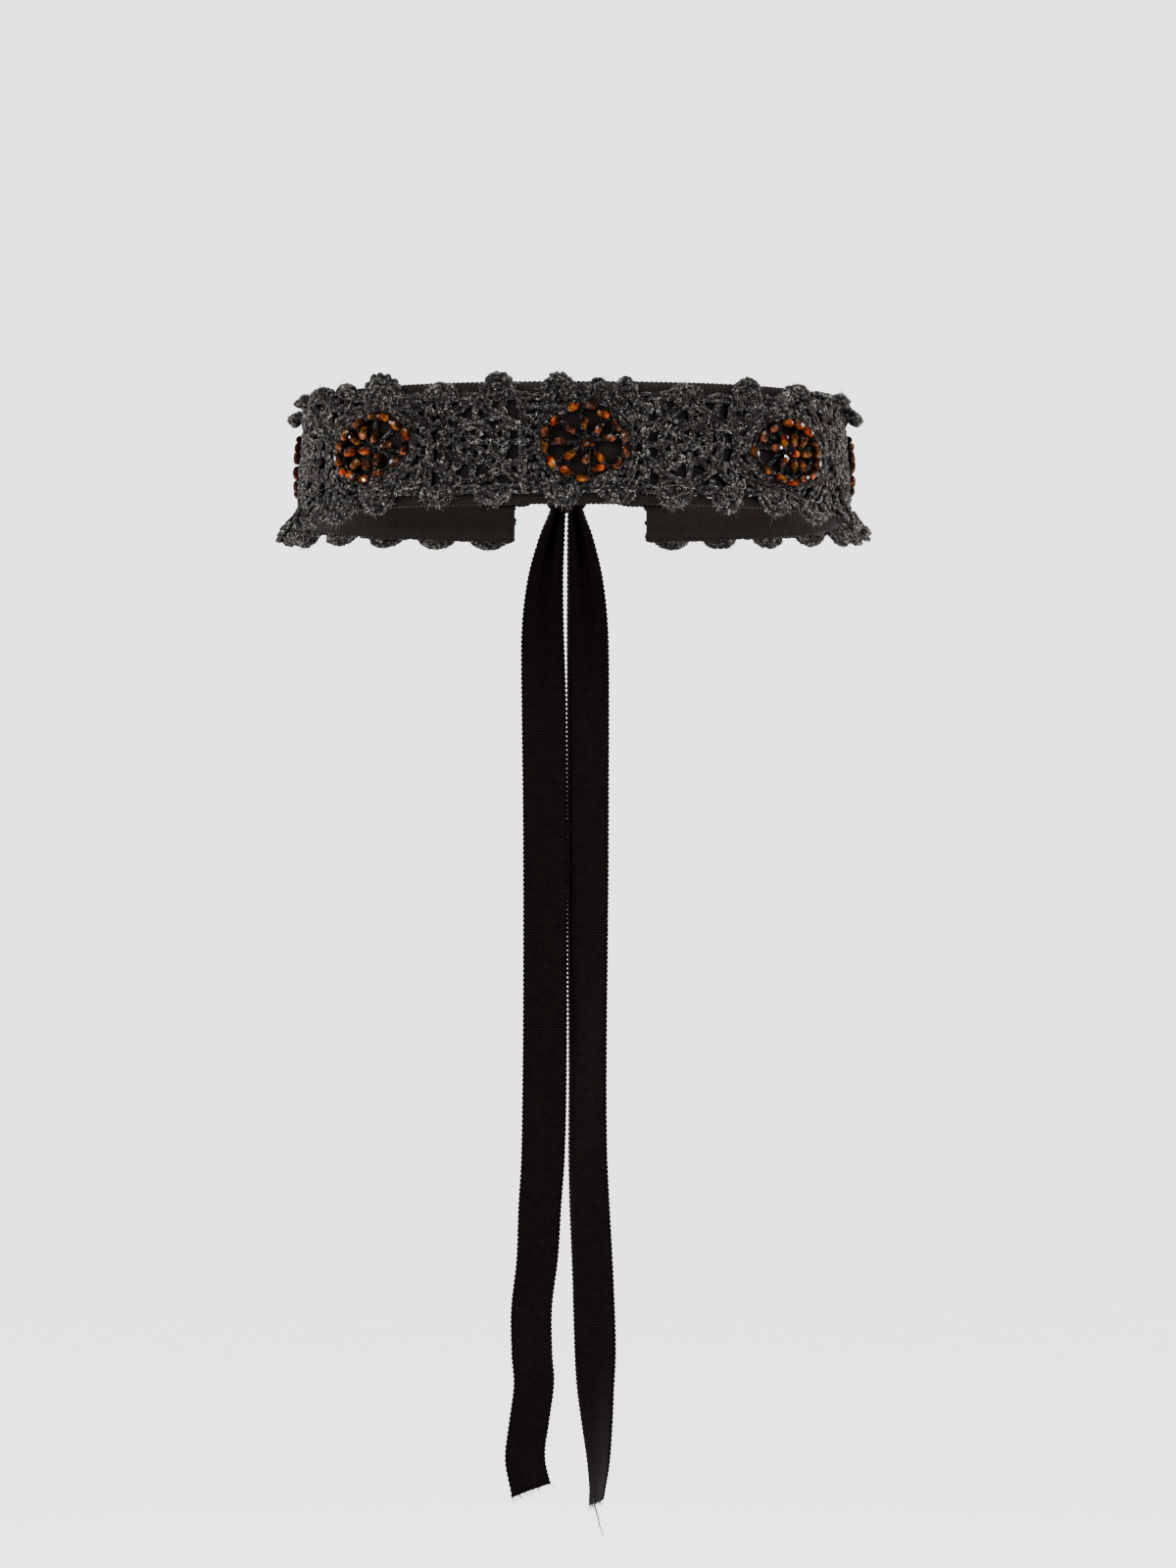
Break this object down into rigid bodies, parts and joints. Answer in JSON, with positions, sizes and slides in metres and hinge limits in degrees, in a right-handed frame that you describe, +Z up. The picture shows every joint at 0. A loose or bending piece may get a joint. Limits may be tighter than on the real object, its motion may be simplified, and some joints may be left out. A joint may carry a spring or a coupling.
{
  "type": "beaded belt",
  "caption": "Wide waist belt of wool crochet lace with glass bead rosettes, sewn on a black grosgrain band and tied behind with two long ribbon tails.",
  "frame": {"origin": "middle of the waist that the belt goes round, at the band's mid height", "axes": "front at -Y, wearer's left at +X, +Z up"},
  "size_m": [0.2613, 0.2399, 0.5441],
  "materials": {
    "black_grosgrain": "ribbed grosgrain ribbon, faint sheen",
    "charcoal_wool": "fuzzy flecked wool yarn, crocheted",
    "amber_glass_beads": "faceted, polished",
    "black_tie_grosgrain": "narrow ribbed grosgrain ribbon, faint sheen"
  },
  "bodies": {
    "root": {"backing_ribbon": "black_grosgrain", "lace_01_beaded": "charcoal_wool", "lace_02_plain": "charcoal_wool", "lace_03_beaded": "charcoal_wool", "lace_04_plain": "charcoal_wool", "lace_05_beaded": "charcoal_wool", "lace_06_plain": "charcoal_wool", "lace_07_beaded": "charcoal_wool", "lace_08_plain": "charcoal_wool", "lace_09_beaded": "charcoal_wool", "lace_10_plain": "charcoal_wool", "lace_11_beaded": "charcoal_wool", "lace_12_plain": "charcoal_wool", "lace_13_beaded": "charcoal_wool", "bead_rosette_1": "amber_glass_beads", "bead_rosette_2": "amber_glass_beads", "bead_rosette_3": "amber_glass_beads", "bead_rosette_4": "amber_glass_beads", "bead_rosette_5": "amber_glass_beads", "bead_rosette_6": "amber_glass_beads", "bead_rosette_7": "amber_glass_beads", "tie_lead_left": "black_tie_grosgrain", "tie_lead_right": "black_tie_grosgrain", "tie_knot": "black_tie_grosgrain", "tie_tail_left": "black_tie_grosgrain", "tie_tail_right": "black_tie_grosgrain"}
  },
  "joints": []
}
